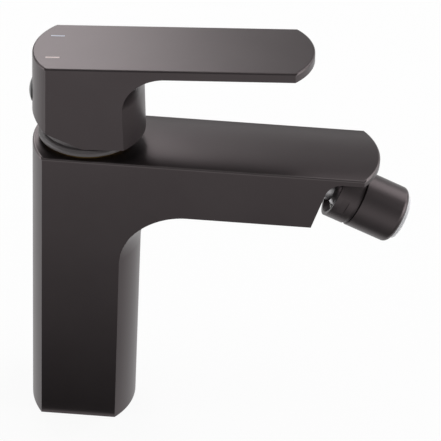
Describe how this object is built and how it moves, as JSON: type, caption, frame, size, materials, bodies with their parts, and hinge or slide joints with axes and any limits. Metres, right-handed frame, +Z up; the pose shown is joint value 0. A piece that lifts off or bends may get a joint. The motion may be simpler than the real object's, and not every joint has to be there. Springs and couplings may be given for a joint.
{
  "type": "bidet mixer",
  "caption": "Single-lever deck bidet mixer in satin graphite, with a slab lever, a squared spout and a ball-jointed nozzle.",
  "frame": {"origin": "centre of the hose bore's mouth, on the deck face and on the cartridge axis", "axes": "+X towards the nozzle, +Y to the cold inlet's side, +Z up along the cartridge axis"},
  "size_m": [0.1781, 0.045, 0.1991],
  "materials": {
    "satin_graphite": "satin dark graphite finish on cast brass and zinc",
    "brass": "machined",
    "steel": "machined",
    "chrome": "polished",
    "ceramic": "lapped",
    "white_plastic": "moulded",
    "dark_plastic": "moulded",
    "grey_plastic": "moulded, light grey",
    "rubber": "matte",
    "plug_black": "moulded, semi-gloss black",
    "hot_enamel": "enamel fill, muted red",
    "cold_enamel": "enamel fill, muted blue"
  },
  "bodies": {
    "body": {"body_casting": "satin_graphite", "base_seal": "rubber", "cartridge_base": "white_plastic", "port_seals": "rubber", "fixed_disc": "ceramic", "cartridge_housing": "white_plastic", "cartridge_seal": "rubber", "retaining_nut": "brass", "cover_ring": "dark_plastic", "ball_nipple": "chrome", "nipple_seal": "rubber"},
    "carrier": {"cartridge_carrier": "dark_plastic", "pivot_pin": "steel"},
    "lever": {"stem": "steel", "handle": "satin_graphite", "grub_screw": "steel", "index_plug": "plug_black", "hot_mark": "hot_enamel", "cold_mark": "cold_enamel"},
    "disc": {"moving_disc": "ceramic", "disc_driver": "white_plastic"},
    "liner": {"ball_liner": "white_plastic"},
    "seal": {"ball_seal": "rubber"},
    "nozzle": {"swivel_collar": "satin_graphite", "nozzle_housing": "satin_graphite", "aerator_washer": "rubber", "jet_plate": "grey_plastic", "aerator_insert": "grey_plastic", "aerator_screen": "grey_plastic"}
  },
  "joints": [
    {"name": "handle_swivel", "type": "hinge", "parent": "body", "child": "carrier", "pos_m": [0, 0, 0.1505], "axis": [0, 0, 1], "range_deg": [-50, 50]},
    {"name": "handle_lift", "type": "hinge", "parent": "carrier", "child": "lever", "pos_m": [0, 0, 0.1505], "axis": [0, -1, 0], "range_deg": [0, 20]},
    {"name": "disc_slide", "type": "slide", "parent": "carrier", "child": "disc", "axis": [1, 0, 0], "range_m": [0, 0.00412]},
    {"name": "nozzle_pitch", "type": "hinge", "parent": "body", "child": "liner", "pos_m": [0.12204, 0, 0.12532], "axis": [0, 1, 0], "range_deg": [-25, 12]},
    {"name": "nozzle_yaw", "type": "hinge", "parent": "liner", "child": "seal", "pos_m": [0.12204, 0, 0.12532], "axis": [0.3939, 0, 0.9191], "range_deg": [-18, 18]},
    {"name": "nozzle_spin", "type": "hinge", "parent": "seal", "child": "nozzle", "pos_m": [0.12204, 0, 0.12532], "axis": [0.9191, 0, -0.3939], "continuous": true}
  ],
  "couplings": [
    {"joint": "disc_slide", "follows": "handle_lift", "m_per_rad": 0.011758}
  ]
}
